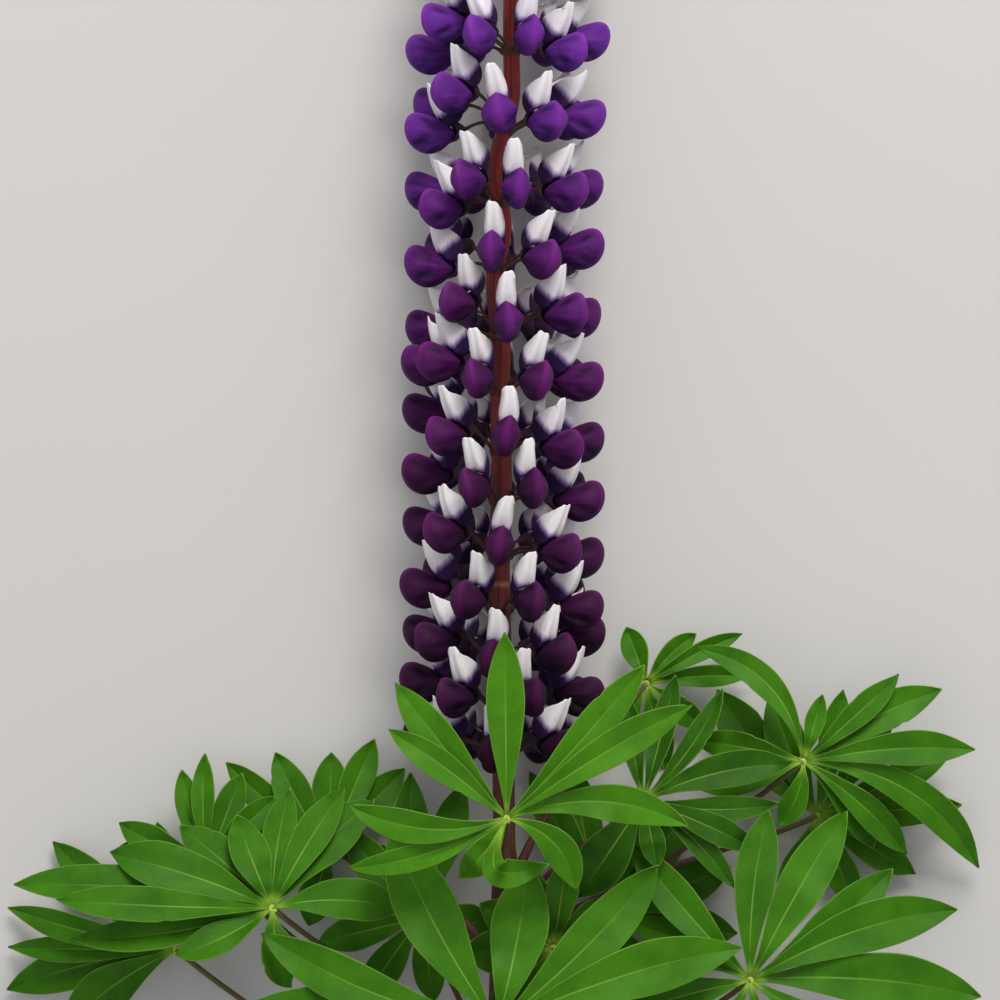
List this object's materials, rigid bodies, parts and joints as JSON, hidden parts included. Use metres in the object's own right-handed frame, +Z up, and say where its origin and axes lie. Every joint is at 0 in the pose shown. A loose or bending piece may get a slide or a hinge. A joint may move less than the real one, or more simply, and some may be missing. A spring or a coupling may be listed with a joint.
{
  "type": "lupin flower spike",
  "caption": "Picked lupin flower spike lying on a surface: whorls of purple-winged, white-bannered flowers round a maroon stem, with hand-shaped leaves on long stalks below.",
  "frame": {"origin": "under the middle of the flower's bounding box, on the surface that it lies on", "axes": "+Y along the stem from the cut end to the tip, +X across, +Z up"},
  "size_m": [0.2956, 0.5332, 0.073],
  "materials": {
    "stem": "matt maroon-brown skin, fine lengthwise ribs",
    "wing_petal": "velvety violet to blackish purple, fine radial veins",
    "banner_petal": "soft white petal, lilac then indigo towards its foot",
    "calyx": "downy dark purple-brown",
    "bud": "downy grey-violet buds",
    "leaf": "satin green leaf with a pale midrib and margin",
    "leaf_stalk": "smooth green stalk flushed with reddish brown"
  },
  "bodies": {
    "root": {"flower_stem": "stem", "whorl_01": "wing_petal", "whorl_02": "wing_petal", "whorl_03": "wing_petal", "whorl_04": "wing_petal", "whorl_05": "wing_petal", "whorl_06": "wing_petal", "whorl_07": "wing_petal", "whorl_08": "wing_petal", "whorl_09": "wing_petal", "whorl_10": "wing_petal", "whorl_11": "wing_petal", "whorl_12": "wing_petal", "whorl_13": "wing_petal", "whorl_14": "wing_petal", "whorl_15": "wing_petal", "whorl_16": "wing_petal", "whorl_17": "wing_petal", "whorl_18": "wing_petal", "whorl_19": "wing_petal", "whorl_20": "wing_petal", "whorl_21": "wing_petal", "bud_tip": "bud", "leaf_front": "leaf", "leaf_low_front": "leaf", "leaf_low_right": "leaf", "leaf_right": "leaf", "leaf_inner_right": "leaf", "leaf_left": "leaf", "leaf_back_left": "leaf", "leaf_low_left": "leaf", "leaf_back_right": "leaf", "leaf_mid_left": "leaf", "leaf_mid_right": "leaf", "leaf_far_right": "leaf", "leaf_far_left": "leaf", "leaf_centre": "leaf"}
  },
  "joints": []
}
